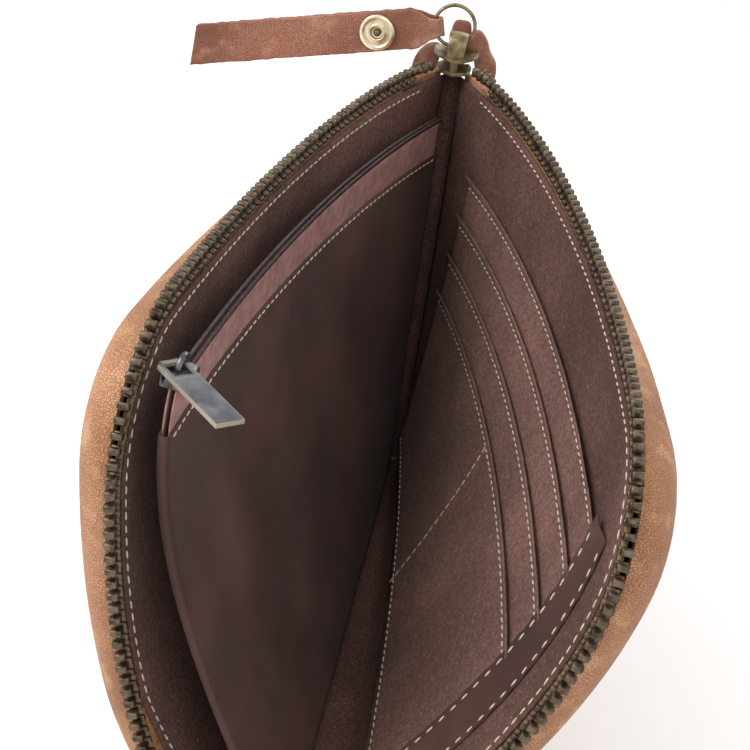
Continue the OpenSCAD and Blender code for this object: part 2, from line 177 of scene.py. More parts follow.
def columns(start, inset, count=70, turn=24):
    """Values of u from start to the near edge, closer together round the corner."""
    plain = np.linspace(start, straight, count, endpoint=False)
    return np.concatenate([plain, straight + (corner - inset) * np.sin(np.linspace(0, pi / 2, turn))])


def cover_grid(start, inset, low, rows=64):
    """u and v over a cover from a lowest v to the rim less an inset."""
    u = columns(start, inset)[:, None]
    over = np.maximum(0, u - straight)
    high = height - corner + np.sqrt(np.maximum(0, (corner - inset) ** 2 - over ** 2))
    high = np.where(over > 0, high, height - inset)
    share = np.linspace(0, 1, rows)[None, :]
    return np.broadcast_to(u, (len(u), rows)), low + (high - low) * share


def select_only(piece):
    deselect()
    bpy.context.view_layer.objects.active = piece
    piece.select_set(True)


def modify(piece, kind, **settings):
    """Adds one modifier with its settings and applies it."""
    select_only(piece)
    modifier = piece.modifiers.new(kind.lower(), kind)
    for name, value in settings.items():
        setattr(modifier, name, value)
    bpy.ops.object.modifier_apply(modifier=modifier.name)


def new_piece(name, verts, faces):
    """An object from points in metres and the faces between them."""
    mesh = bpy.data.meshes.new(name)
    mesh.from_pydata(verts, [], faces)
    piece = bpy.data.objects.new(name, mesh)
    bpy.context.scene.collection.objects.link(piece)
    return piece


def lay_flat(piece, flat):
    """Keeps each point's place on the flat cut pattern, in mm."""
    loops = np.zeros(len(piece.data.loops), int)
    piece.data.loops.foreach_get("vertex_index", loops)
    cut = piece.data.uv_layers.new(name="cut")
    cut.data.foreach_set("uv", np.asarray(flat, float)[loops].ravel())


def cloth(name, side, u, v, d, thick, bulge=0.0, rounding=0.0):
    """A sheet through a grid of u, v that starts d mm inward of the teeth and is thick mm thick."""
    u, v, d = np.broadcast_arrays(u, v, d)
    points = wall(side, u, v, d, bulge).reshape(-1, 3)
    rows, cols = u.shape
    corner_of = np.arange(rows * cols).reshape(rows, cols)
    quads = np.stack([corner_of[:-1, :-1], corner_of[1:, :-1], corner_of[1:, 1:], corner_of[:-1, 1:]], -1)
    if side["sign"] < 0:
        quads = quads[..., ::-1]
    piece = new_piece(name, points.tolist(), quads.reshape(-1, 4).tolist())
    lay_flat(piece, np.stack([u.ravel(), v.ravel()], -1))
    modify(piece, "SOLIDIFY", thickness=thick / 1000, offset=1.0, use_even_offset=False)
    if rounding:
        modify(piece, "BEVEL", width=rounding / 1000, segments=2, limit_method="ANGLE",
               angle_limit=radians(60))
    piece.data.shade_smooth()
    return piece


def as_sheet(u, v):
    """Works out the area a sheet was cut to, from its own u and v; the area is not used."""
    u, v = np.broadcast_arrays(u, v)
    cells = (u[1:, 1:] - u[:-1, :-1]) * (v[:-1, 1:] - v[1:, :-1])
    cells = cells - (u[:-1, 1:] - u[1:, :-1]) * (v[1:, 1:] - v[:-1, :-1])
    area = abs(cells.sum()) / 2e6


def settle(piece, finish, slot, body, *nodes):
    """Finishes a piece and lets it ride the shell, or for any other body bakes its place into its mesh.
    """
    piece.data.materials.append(finish)
    if body == "shell":
        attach(piece, "shell")
    else:
        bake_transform(piece)
    if nodes:
        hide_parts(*nodes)


class Shade:
    """A socket in one material's nodes, with arithmetic on it."""

    def __init__(self, tree, socket=None):
        self.tree = tree
        self.socket = socket

    def node(self, kind, settings=None, sockets=None, out=0):
        made = self.tree.nodes.new("ShaderNode" + kind)
        for name, value in (settings or {}).items():
            setattr(made, name, value)
        for name, value in (sockets or {}).items():
            if isinstance(value, Shade):
                self.tree.links.new(value.socket, made.inputs[name])
            else:
                made.inputs[name].default_value = value
        return Shade(self.tree, made.outputs[out])

    def maths(self, operation, *values):
        return self.node("Math", {"operation": operation}, dict(enumerate(values)))

    def __add__(self, other):
        return self.maths("ADD", self, other)

    def __sub__(self, other):
        return self.maths("SUBTRACT", self, other)

    def __mul__(self, other):
        return self.maths("MULTIPLY", self, other)

    def __rsub__(self, other):
        return self.maths("SUBTRACT", other, self)

    __radd__ = __add__
    __rmul__ = __mul__

    def clip(self, low, high):
        """0 below low, 1 above high, easing between."""
        return self.node("MapRange", {"interpolation_type": "SMOOTHSTEP"},
                         {"Value": self, "From Min": low, "From Max": high})

    def mixed(self, first, second):
        """first where this is 0 and second where it is 1."""
        pair = [c if isinstance(c, Shade) else (*c, 1) for c in (first, second)]
        return self.node("Mix", {"data_type": "RGBA"}, {0: self, 6: pair[0], 7: pair[1]}, 2)

    def place(self):
        return self.node("TexCoord", out=3)

    def across_and_up(self):
        """The two coordinates of the flat cut pattern, in mm."""
        split = self.node("SeparateXYZ", {}, {0: self.node("UVMap", {"uv_map": "cut"})})
        return split, Shade(self.tree, split.socket.node.outputs[1])

    def wave(self, pitch):
        return (self * (2 * pi / pitch)).maths("SINE")

    def rubbed(self, low, high):
        """1 on edges that stand out, 0 in hollows."""
        return self.node("NewGeometry", out=7).clip(low, high)

    def cloud(self, where, scale, detail=3.0, rough=0.55):
        return self.node("TexNoise", {}, {"Vector": where, "Scale": scale, "Detail": detail,
                                          "Roughness": rough})

    def cells(self, where, scale):
        return self.node("TexVoronoi", {"feature": "DISTANCE_TO_EDGE"},
                         {"Vector": where, "Scale": scale})


def new_finish(name, look, **fixed):
    """A material whose look function gives its colour, roughness, bump height and bump distance."""
    made = bpy.data.materials.new(name)
    made.use_nodes = True
    tree = made.node_tree
    shader = tree.nodes["Principled BSDF"]
    for socket, value in fixed.items():
        shader.inputs[socket.replace("_", " ")].default_value = value
    colour, rough, bump, depth = look(Shade(tree))
    tree.links.new(colour.socket, shader.inputs["Base Color"])
    if isinstance(rough, Shade):
        tree.links.new(rough.socket, shader.inputs["Roughness"])
    else:
        shader.inputs["Roughness"].default_value = rough
    ridge = Shade(tree).node("Bump", {}, {"Height": bump, "Distance": depth, "Strength": 1.0})
    tree.links.new(ridge.socket, shader.inputs["Normal"])
    return made


def srgb(red, green, blue):
    """A colour from 0-255 screen values."""
    return tuple(((c / 255 + 0.055) / 1.055) ** 2.4 if c > 10 else c / 3294.6
                 for c in (red, green, blue))


def hide_look(light, deep, edge):
    """Oiled split cowhide: fine grain, darker pores and pale rubbed patches."""
    def look(s):
        where = s.place()
        patch = s.cloud(where, 28, 4).clip(0.35, 0.68)
        grain = s.cells(where, 1500).clip(0.0, 0.14)
        fibre = s.cloud(where, 900, 2)
        base = patch.mixed(deep, light)
        pores = (1 - grain) * 0.6
        colour = pores.mixed(base, tuple(0.62 * c for c in deep))
        rubbed = (s.cloud(where, 140, 3).clip(0.5, 0.72) * 0.45).mixed(colour, edge)
        height = grain * 0.6 + fibre * 0.8 + s.cloud(where, 180, 3) * 1.2
        return rubbed, 0.52 + fibre * 0.3, height, 0.00028
    return look


hide_finish = new_finish("tan_leather", hide_look(srgb(196, 142, 102), srgb(160, 108, 72),
                                                  srgb(216, 172, 132)))


def sew(name, path, finish, body, *nodes, slot="tape", pitch=3.0, size=(2.3, 0.62, 0.45), slant=7.0,
        wander=0.06):
    """Stitches along a path of points and surface normals, settled as one piece."""
    deselect()
    bpy.ops.mesh.primitive_uv_sphere_add(segments=6, ring_count=5, radius=0.5, rotation=(0, pi / 2, 0))
    pattern = bpy.context.object
    pattern.data.transform(Matrix.Diagonal((*size, 1)) @ pattern.matrix_world)
    shape = np.array([tuple(p.co) for p in pattern.data.vertices]) / 1000
    faces = [tuple(f.vertices) for f in pattern.data.polygons]
    bpy.data.objects.remove(pattern)
    points, normals = path
    run = np.concatenate([[0], np.cumsum(np.linalg.norm(np.diff(points, axis=0), axis=1))])
    count = max(2, int(run[-1] * 1000 / pitch))
    marks = (np.arange(count) + 0.5) / count * run[-1]
    verts, polys = [], []
    for k, mark in enumerate(marks):
        ahead, behind = ([np.interp(mark + step, run, points[:, a]) for a in range(3)]
                         for step in (0.0004, -0.0004))
        centre = [np.interp(mark, run, points[:, a]) for a in range(3)]
        up = np.array([np.interp(mark, run, normals[:, a]) for a in range(3)])
        along = np.subtract(ahead, behind)
        along = along / np.linalg.norm(along)
        up = up - along * (up @ along)
        up = up / np.linalg.norm(up)
        across = np.cross(up, along)
        turn = radians(slant + random.uniform(-4, 4))
        first = along * cos(turn) + across * sin(turn)
        second = across * cos(turn) - along * sin(turn)
        offset = np.array(centre) + across * random.uniform(-wander, wander) / 1000
        verts.append(offset + shape @ np.array([first, second, up]))
        polys += [tuple(i + k * len(shape) for i in f) for f in faces]
    piece = new_piece(name, np.concatenate(verts).tolist(), polys)
    piece.data.shade_smooth()
    settle(piece, finish, slot, body, *nodes)


def seam(side, u, v, d):
    """A sewing path on a side: its points and the way its surface faces."""
    u, v = np.broadcast_arrays(np.asarray(u, float), np.asarray(v, float))
    points = wall(side, u, v, d)
    return points, (wall(side, u, v, d + 1.0) - points) * 1000


def rim(s, w):
    """u and v at s along the zip from the slider, w mm in from the teeth."""
    s = np.asarray(s, float)
    bend = np.clip((s - straight) / corner, 0, pi / 2)
    u = np.minimum(s, straight) + (corner - w) * np.sin(bend)
    v = height - corner + (corner - w) * np.cos(bend) - np.maximum(0, s - straight - quarter)
    return u, v


def thread_look(s):
    where = s.place()
    twist = s.cloud(where, 1800, 2)
    return twist.clip(0.3, 0.75).mixed(srgb(176, 158, 134), srgb(222, 210, 190)), 0.7, twist, 0.0001


thread = new_finish("waxed_thread", thread_look)
outer_d = -0.4 - hide
u, v = cover_grid(0, 3.0, 0.0)
back_hide = cloth("back_leather", back, u, v, outer_d, hide, belly, rounding=0.35)
as_sheet(u, v)
settle(back_hide, hide_finish, "leather", "shell", "leather_back", "leather_bottom")


# ---- Front cover
# The other half of the hide. It stays on the fold at the closed end and folds
# along a slanting line from the slider to the near corner as the pouch opens.
def joint(name):
    return next(j for j in frame["joints"] if j["name"] == name)


front_hide = cloth("front_leather", front, u, v, outer_d, hide, belly, rounding=0.35)
as_sheet(u, v)
settle(front_hide, hide_finish, "leather", "front_cover", "leather_front_base", "leather_front_flap")


# ---- Closed end
# A narrow gusset of the same hide wraps the far end and joins the two covers
# below the slider; the lining's own narrow end shows inside.
def gusset(name, half_width, depth, low, top, thick):
    """Half an oval tube on end, drawn in a little towards its top."""
    turn = np.linspace(-pi / 2, pi / 2, 25)
    heights = np.linspace(low, top, 40)
    drawn_in = pinch * (heights / height) ** 4
    verts = [((-length / 2 - depth * cos(a)) / 1000, (half_width - p) * sin(a) / 1000, (lift + h) / 1000)
             for h, p in zip(heights, drawn_in) for a in turn]
    cols = len(turn)
    quads = [(i * cols + j, i * cols + j + 1, (i + 1) * cols + j + 1, (i + 1) * cols + j)
             for i in range(len(heights) - 1) for j in range(cols - 1)]
    piece = new_piece(name, verts, quads)
    modify(piece, "SOLIDIFY", thickness=thick / 1000, offset=1.0)
    piece.data.shade_smooth()
    return piece


end_hide = gusset("end_leather", 5.0, 4.8, -1.6, height - 9, 1.2)
settle(end_hide, hide_finish, "leather", "shell", "leather_end")


# ---- Lining
# Dark brown brushed cloth, glued and stitched inside both covers 4.5 mm below
# the teeth, further in low down at the unzipped end.
lining_in = 4.5
lining_t = 0.6
lining_d = 0.5


def brushed_look(light, deep, fleck):
    """Brushed cloth: soft patches, a fine nap and short pale fibres."""
    def look(s):
        where = s.place()
        patch = s.cloud(where, 22, 3).clip(0.3, 0.7)
        nap = s.cloud(where, 950, 2, 0.7)
        fine = s.cloud(where, 2100, 2, 0.7)
        base = patch.mixed(deep, light)
        napped = (nap.clip(0.42, 0.6) * 0.55).mixed(base, tuple(0.5 * c for c in deep))
        flecks = fine.clip(0.56, 0.68) * s.cloud(where, 500, 2).clip(0.4, 0.6) * 0.7
        return flecks.mixed(napped, fleck), 0.92, nap + fine * 0.6, 0.0003
    return look


lining_finish = new_finish("brushed_lining", brushed_look(srgb(114, 82, 74), srgb(84, 58, 52),
                                                          srgb(158, 128, 116)),
                           Sheen_Weight=0.03, Specular_IOR_Level=0.12)


def tapered(u, v):
    """Draws the lining's near edge inwards low down."""
    return u * (1 - 0.22 * np.maximum(0, 62 - v) / length), v


u, v = tapered(*cover_grid(0.0, lining_in, 0.0))
lining_seam = tapered(*rim(np.linspace(14, rim_length - 17, 300), lining_in + 2.2))
for side, half, nodes in ((back, "back", ("lining_back", "lining_bottom")),
                          (front, "front", ("lining_front_base", "lining_front_flap"))):
    piece = cloth(half + "_lining", side, u, v, lining_d, lining_t)
    as_sheet(u, v)
    settle(piece, lining_finish, "lining", side["body"], *nodes)
    sew(half + "_lining_stitches", seam(side, *lining_seam, lining_d + lining_t + 0.1), thread,
        side["body"], pitch=3.2)

end_lining = gusset("end_lining", 3.7, 3.0, 1.4, height - 8, 0.4)
settle(end_lining, lining_finish, "lining", "shell", "lining_end")


# ---- Leather facing and zip tapes
# Woven tapes carry the teeth; a strip of suede-side hide faces them inside,
# and a corded edge runs along the foot of the teeth.
suede_finish = new_finish("suede_facing", brushed_look(srgb(150, 108, 74), srgb(118, 80, 52),
                                                       srgb(190, 152, 116)),
                          Sheen_Weight=0.03, Specular_IOR_Level=0.15)


def woven_look(light, deep, pitch):
    """A tight plain weave with its ribs along the tape."""
    def look(s):
        across, up = s.across_and_up()
        weave = across.wave(pitch) * up.wave(pitch)
        blot = s.cloud(s.place(), 260, 3)
        colour = (weave * 0.3 + blot * 0.7).clip(0.1, 0.6).mixed(deep, light)
        return colour, 0.85, weave, 0.0002
    return look


tape_finish = new_finish("zip_tape", woven_look(srgb(96, 74, 56), srgb(52, 38, 30), 0.9),
                         Specular_IOR_Level=0.3)
cord_finish = new_finish("tape_cord", woven_look(srgb(136, 112, 80), srgb(86, 66, 46), 1.1),
                         Specular_IOR_Level=0.3)


def strip(name, half, side, s_range, w_range, d, thick, rows=5, cols=150):
    """A narrow strip that follows the rim between two insets."""
    s = np.linspace(*s_range, cols)[:, None]
    w = np.linspace(w_range[1], w_range[0], rows)[None, :]
    u, v = rim(s + 0 * w, w + 0 * s)
    piece = cloth(half + name, side, u, v, d, thick)
    width = abs(w_range[1] - w_range[0]) / 1000
    run = (s_range[1] - s_range[0]) / 1000
    0.93 * width * run
    return piece


def cord_along(name, side, w, d, radius, s_range, sides=8):
    """A round cord along the rim."""
    s = np.linspace(*s_range, 320)
    points, normals = seam(side, *rim(s, w), d)
    ahead = np.gradient(points, axis=0)
    ahead /= np.linalg.norm(ahead, axis=1)[:, None]
    normals /= np.linalg.norm(normals, axis=1)[:, None]
    across = np.cross(normals, ahead)
    turns = np.arange(sides) / sides * 2 * pi
    ring = radius / 1000 * (np.cos(turns)[None, :, None] * normals[:, None]
                            + np.sin(turns)[None, :, None] * across[:, None])
    verts = (points[:, None] + ring).reshape(-1, 3)
    quads = [(i * sides + j, i * sides + (j + 1) % sides, (i + 1) * sides + (j + 1) % sides,
              (i + 1) * sides + j) for i in range(len(s) - 1) for j in range(sides)]
    caps = [tuple(range(sides))[::-1], tuple(range(len(verts) - sides, len(verts)))]
    piece = new_piece(name, verts.tolist(), quads + caps)
    lay_flat(piece, [(s[i // sides], (i % sides) / sides * 2 * pi * radius) for i in range(len(verts))])
    tidy_shell(piece)
    piece.data.shade_smooth()
    return piece


def tidy_shell(piece, gap=1e-6):
    """Merges doubles and turns every face outwards."""
    shape = bmesh.new()
    shape.from_mesh(piece.data)
    bmesh.ops.remove_doubles(shape, verts=shape.verts, dist=gap)
    bmesh.ops.recalc_face_normals(shape, faces=shape.faces)
    shape.to_mesh(piece.data)
    shape.free()


row_start, row_end = 8.0, rim_length - 20.0
tape_end = row_end + 5
halves = ((back, "back"), (front, "front"))
for side, half in halves:
    tape = strip("_zip_tape", half, side, (16, tape_end), (2.1, 12.4), -0.25, 0.4)
    settle(tape, tape_finish, "tape", side["body"], "tape_" + half)
    facing = strip("_facing", half, side, (24, rim_length - 13), (4.0, 18), 0.24, 0.22)
    settle(facing, suede_finish, "leather", side["body"])
    edge_cord = cord_along(half + "_tape_cord", side, 3.1, 0.35, 0.62, (14, tape_end))
    settle(edge_cord, cord_finish, "tape", side["body"])


# ---- Main zip's teeth
# Each tooth is cast brass with an antique finish, a head that meshes over the
# opposite one and two legs clenched on the tape's edge.
def brass_look(bright, dark, tint):
    """Antiqued brass: dark in the hollows and rubbed bright on what stands out."""
    def look(s):
        where = s.place()
        blot = s.cloud(where, 420, 4).clip(0.3, 0.7)
        rubbed = s.rubbed(0.56, 0.8)
        base = blot.mixed(dark, tint)
        scratch = s.cloud(where, 2600, 2)
        return (rubbed * 0.7).mixed(base, bright), 0.3 + blot * 0.22, scratch, 0.00006
    return look


tooth_finish = new_finish("antique_brass", brass_look(srgb(186, 168, 136), srgb(56, 46, 38),
                                                      srgb(112, 97, 80)), Metallic=0.85)
tooth_pitch, tooth_l, tooth_t = 3.1, 1.55, 2.6
twist_start, twist_end = 13.0, 20.0


def faces_where(piece, test):
    """Selects, in edit mode, the faces whose centre and normal pass a test."""
    bpy.context.view_layer.objects.active = piece
    bpy.ops.object.mode_set(mode="EDIT")
    bpy.ops.mesh.select_mode(type="FACE")
    bpy.ops.mesh.select_all(action="DESELECT")
    shape = bmesh.from_edit_mesh(piece.data)
    for face in shape.faces:
        face.select_set(bool(test(face.calc_center_median(), face.normal)))
    shape.select_flush_mode()
    bmesh.update_edit_mesh(piece.data)


def inset_faces(piece, test, *cuts, each=False):
    """Insets the faces that pass a test, once for each thickness and depth."""
    faces_where(piece, test)
    for thickness, depth in cuts:
        bpy.ops.mesh.inset(thickness=thickness, depth=depth, use_individual=each)
    bpy.ops.object.mode_set(mode="OBJECT")


def at_origin(name, shape=Matrix.Identity(4)):
    """The primitive just added, with its place and a change of shape moved into its mesh."""
    piece = bpy.context.object
    piece.name = name
    piece.data.transform(shape @ piece.matrix_world)
    piece.matrix_world = Matrix.Identity(4)
    return piece


def block(name, size, centre=(0, 0, 0)):
    """A block in millimetres, to be shaped further."""
    deselect()
    bpy.ops.mesh.primitive_cube_add(size=1)
    return at_origin(name, Matrix.Translation(centre) @ Matrix.Diagonal((*size, 1)))


def mm_at(point):
    """The place of a shape drawn in millimetres round a point."""
    return Matrix.Translation(point) @ Matrix.Scale(0.001, 4)


def mm_frame(point, axes):
    """The place of a shape drawn in millimetres along three axes."""
    rows = [[*axes[:, i], point[i]] for i in range(3)]
    return Matrix(rows + [[0, 0, 0, 1]]) @ Matrix.Scale(0.001, 4)


tooth = block("tooth", (tooth_l, 1.7, tooth_t), (0, 0.65, 0))
inset_faces(tooth, lambda c, n: n.y > 0.9, (0.3, 0.2))
faces_where(tooth, lambda c, n: n.y < -0.9)
bpy.ops.mesh.inset(thickness=0.32, depth=0)
bpy.ops.mesh.extrude_region_move(TRANSFORM_OT_translate={"value": (0, -1.3, 0)})
bpy.ops.mesh.extrude_region_move(TRANSFORM_OT_translate={"value": (0, -0.2, 0)})
bpy.ops.transform.resize(value=(1.75, 1, 1.5))
bpy.ops.mesh.extrude_region_move(TRANSFORM_OT_translate={"value": (0, -0.95, 0)})
bpy.ops.mesh.extrude_region_move(TRANSFORM_OT_translate={"value": (0, -0.2, 0)})
bpy.ops.transform.resize(value=(0.6, 1, 0.75))
bpy.ops.object.mode_set(mode="OBJECT")
modify(tooth, "BEVEL", width=0.2, segments=1, limit_method="ANGLE", angle_limit=radians(40))
tooth_points = np.array([tuple(p.co) for p in tooth.data.vertices]) / 1000
tooth_faces = [tuple(f.vertices) for f in tooth.data.polygons]
bpy.data.objects.remove(tooth)


def unit(vector):
    return vector / np.linalg.norm(vector)


def rim_frame(side, s):
    """Place and axes on the rim: along the zip, out of the tape, and through it."""
    here = wall(side, *rim(s, 0))
    inner = wall(side, *rim(s, 3))
    level = min(1, max(0, (twist_end - s) / (twist_end - twist_start)))
    out = unit((1 - level) * unit(here - inner) + level * np.array([0, -side["sign"], 0]))
    step = wall(side, *rim(s + 1, 0)) - wall(side, *rim(s - 1, 0))
    along = unit(step - (step @ out) * out)
    return here, np.array([along, out, np.cross(along, out)])


def zip_row(name, side, shift, *nodes):
    verts, polys = [], []
    for k, s in enumerate(np.arange(row_start + shift, row_end, tooth_pitch)):
        here, axes = rim_frame(side, s)
        verts.append(here + tooth_points @ axes)
        polys += [tuple(i + k * len(tooth_points) for i in f) for f in tooth_faces]
    piece = new_piece(name, np.concatenate(verts).tolist(), polys)
    tidy_shell(piece)
    piece.data.shade_smooth()
    settle(piece, tooth_finish, "antique_brass", side["body"], *nodes)


zip_row("back_teeth", back, 0.0, "teeth_back")
zip_row("front_teeth", front, tooth_pitch / 2, "teeth_front", "teeth_front_held")

for side, half in halves:
    stop = block(half + "_top_stop", (2.6, 3.6, 2.9), (0, -1.0, 0))
    inset_faces(stop, lambda c, n: abs(n.z) > 0.9, (0.5, -0.25))
    modify(stop, "BEVEL", width=0.4, segments=2, limit_method="ANGLE", angle_limit=radians(40))
    stop.data.transform(mm_frame(*rim_frame(side, row_end + tooth_pitch)))
    settle(stop, tooth_finish, "antique_brass", side["body"], "top_stop_" + half)


# ---- Card slots
# Four overlapping strips of the brushed cloth sewn across the back lining,
# each with its folded top edge standing off a little to take a card.
# Painted light: the card strips are the lining's brushed cloth, given lighter colours to stand in for the
# light falling on the back wall.
lit_card_finish = new_finish("card_cloth", brushed_look(srgb(136, 100, 90), srgb(108, 78, 70),
                                                    srgb(184, 156, 142)),
                         Sheen_Weight=0.04, Specular_IOR_Level=0.12)
card_far, card_near, hem_near = 18.0, 190.0, 197.0
card_low, card_top, card_step = 22.0, 120.5, 13.3
layer, card_t, panel_d = 0.5, 0.3, 1.3


def card_sheet(name, low, high, d, lip):
    """A strip of card cloth that replaces its node, with its top edge lifted by lip mm."""
    u = np.linspace(card_far, card_near, 90)[:, None]
    v = np.concatenate([np.linspace(low, high - 4, 14, endpoint=False), np.linspace(high - 4, high, 9)])
    wave = 0.16 * np.sin(u / 11.0) + 0.1 * np.sin(u / 4.3 + 1)
    lifted = d + lip * smooth((v - high + 4) / 4) * (1 + wave)
    v = v[None, :] + wave * 1.2 * (v[None, :] > high - 6)
    piece = cloth(name, back, u + 0 * v, v, lifted, card_t)
    as_sheet(u + 0 * v, v)
    settle(piece, lit_card_finish, "card_cloth", "shell", name)


card_sheet("card_panel", card_low - 2, card_top - 8, panel_d, 0.0)
tier_run = np.linspace(card_far + 1, card_near - 1, 220)
for k in range(4):
    top = card_top - k * card_step
    low = card_low if k == 3 else top - 30
    d = panel_d + (k + 1) * layer
    card_sheet(f"card_tier_{k + 1}", low, top, d, 1.2)
    sew(f"card_tier_{k + 1}_stitches", seam(back, tier_run, top - 3.2, d + card_t + 0.2), thread,
        "shell", wander=0.08)

outer_card = panel_d + 4 * layer + card_t
divider = (99.0, np.linspace(card_low, card_top - 3 * card_step - 3, 80))
foot = (np.linspace(card_far, card_near, 200), card_low + 2.5)
for name, line in (("card_divider_stitches", divider), ("card_bottom_stitches", foot)):
    sew(name, seam(back, *line, outer_card + 0.1), thread, "shell")

u = np.linspace(card_near - 3.2, hem_near, 14)[:, None]
v = np.linspace(card_low - 3, card_top + 2.5, 110)[None, :]
stack = 1.35 + layer * np.clip((card_top + 1.5 - v) / card_step, 0, 4) + 0.75
slope = stack + 0.45 + (0.75 - stack) * smooth((u - card_near) / (hem_near - card_near))
hem = cloth("card_hem", back, u + 0 * v, v + 0 * u, slope + 0.12 * np.sin(v / 1.1), 0.5)
as_sheet(u + 0 * v, v + 0 * u)
sewn = np.linspace(card_low, card_top, 160)
for name, column in (("card_hem_stitches", 3), ("card_edge_stitches", 12)):
    raised = np.interp(sewn, v[0], slope[column]) + 0.62
    sew(name, seam(back, float(u[column, 0]), sewn, raised), thread, "shell", pitch=4.2)


# ---- Zipped pocket
# Two walls of twill hang inside the front cover, joined at their foot and
# open along a coil zip near the top.
pocket = dict(sign=-1, low=26.9, high=-27.0, fade=2.8, opening=1.79, fold=(0, 0), shift=-3,
              body="pocket")
pocket_h, pocket_near, pocket_far = 129.0, 208.0, 6.0
wall_d, wall_t = 0.9, 0.4


def twill_look(light, deep):
    """Diagonal twill with soft worn patches."""
    def look(s):
        across, up = s.across_and_up()
        ridge = (across * 0.8 + up).wave(1.7)
        where = s.place()
        patch = s.cloud(where, 26, 4).clip(0.3, 0.72)
        yarn = s.cloud(where, 2400, 2)
        base = patch.mixed(deep, light)
        lines = (ridge.clip(-1.0, 0.6) * 0.75 + yarn * 0.5).clip(0.15, 0.9)
        colour = lines.mixed(tuple(0.5 * c for c in deep), base)
        return colour, 0.72, ridge * 0.5 + yarn, 0.00022
    return look


# The twill's own dark brown, darkened further by about a fifth as painted shade for the pocket wall,
# which faces away from the key light.
shaded_twill_finish = new_finish("pocket_twill", twill_look(srgb(88, 59, 53), srgb(62, 40, 36)),
                          Sheen_Weight=0.04, Specular_IOR_Level=0.25)
settle(hem, shaded_twill_finish, "card_cloth", "shell", "card_hem")


def slack(u, v):
    """How far the loose pocket cloth waves, in mm, less towards its seams."""
    waves = np.vectorize(lambda a, b: noise.noise((a / 34.0, b / 26.0, 3.7)))(u, v)
    folds = np.exp(-((u - 0.9 * v - 118) / 9) ** 2) - 0.8 * np.exp(-((u - 0.7 * v - 146) / 7) ** 2)
    free = smooth(v / 30) * smooth((112 - v) / 30) * smooth((pocket_near - u) / 25) * smooth(u / 60)
    return free * (1.8 * waves + 1.0 * folds)


def pocket_piece(name, near, v_range, d, thick, counts, finish, slot, held, *nodes):
    """A sheet that hangs with the pocket from its far edge to a near one."""
    u, v = np.meshgrid(np.linspace(pocket_far, near, counts[0]), np.linspace(*v_range, counts[1]),
                       indexing="ij")
    piece = cloth(name, pocket, u, v, d + slack(u, v), thick)
    as_sheet(u, v)
    settle(piece, finish, slot, "pocket", *nodes)


pocket_foot, pocket_seam = 4.6, 116.5
for name, d, nodes in (
        ("pocket_face", wall_d, ("pocket_face_base", "pocket_face_flap", "pocket_fold")),
        ("pocket_rear", -wall_d - wall_t, ("pocket_back_base", "pocket_back_flap"))):
    pocket_piece(name, pocket_near, (pocket_foot, pocket_seam + 1), d, wall_t, (120, 80), shaded_twill_finish,
                 "twill", "hung", *nodes)


def pocket_tape_look(s):
    """Plum tape with rows of small woven holes."""
    across, up = s.across_and_up()
    holes = (across.wave(1.5) * up.wave(1.9)).clip(0.35, 0.8)
    blot = s.cloud(s.place(), 300, 3).clip(0.3, 0.7)
    base = blot.mixed(srgb(138, 98, 92), srgb(168, 124, 116))
    return (holes * 0.8).mixed(base, srgb(76, 48, 46)), 0.7, 1 - holes, 0.00025


pocket_tape_finish = new_finish("pocket_tape", pocket_tape_look, Sheen_Weight=0.03)
for name, d, node in (("pocket_face_tape", wall_d - 0.35, "pocket_tape_face"),
                      ("pocket_rear_tape", -wall_d, "pocket_tape_back")):
    pocket_piece(name, pocket_near - 1, (pocket_seam - 2, pocket_h - 0.9), d, 0.3, (90, 10),
                 pocket_tape_finish, "pocket_tape", "stretched", node)

turn = np.linspace(0, pi, 9)[None, :]
turned = 0.9 * np.sin(turn)
turned_edges = {
    "pocket_near_edge": (pocket_near + turned, np.linspace(pocket_foot, pocket_seam + 1, 60)[:, None]),
    "pocket_foot": (np.linspace(pocket_far, pocket_near, 80)[:, None], pocket_foot + 0.1 - turned),
}
for name, (u, v) in turned_edges.items():
    piece = cloth(name, pocket, u, v, 1.05 * np.cos(turn), 0.25)
    tidy_shell(piece)
    settle(piece, shaded_twill_finish, "twill", "pocket")

face_run = np.linspace(pocket_far + 2, pocket_near - 2, 240)
sew("pocket_face_stitches", seam(pocket, face_run, pocket_seam - 0.3, wall_d + wall_t + 0.08), thread,
    "pocket", pitch=3.3)


def coil_look(s):
    where = s.place()
    blot = s.cloud(where, 900, 2)
    return blot.clip(0.3, 0.7).mixed(srgb(30, 20, 20), srgb(64, 44, 42)), 0.28, blot, 0.00005


coil_finish = new_finish("pocket_coil", coil_look)
coil_run = np.linspace(pocket_far, pocket_near - 5, 300)
for name, d, node in (("pocket_face_coil", 0.75, "pocket_coil_face"),
                      ("pocket_rear_coil", -0.75, "pocket_coil_back")):
    sew(name, seam(pocket, coil_run, pocket_h, d), coil_finish, "pocket", node, slot="coil", pitch=1.05,
        size=(0.85, 1.7, 1.3), slant=24 if d > 0 else -24, wander=0)


# ---- Pocket slider and its tab
# A small gunmetal slider rides the coil; its tab hangs on an arch and lies
# turned inwards over the pocket.
def gunmetal_look(s):
    """Smooth dark plating, worn to warm metal on its edges."""
    where = s.place()
    worn = s.rubbed(0.54, 0.68)
    haze = s.cloud(where, 160, 3).clip(0.3, 0.75)
    base = haze.mixed(srgb(74, 76, 80), srgb(112, 114, 118))
    scratch = s.cloud(where, 2200, 2)
    return (worn * 0.6).mixed(base, srgb(184, 168, 138)), 0.24 + haze * 0.14, scratch, 0.00003


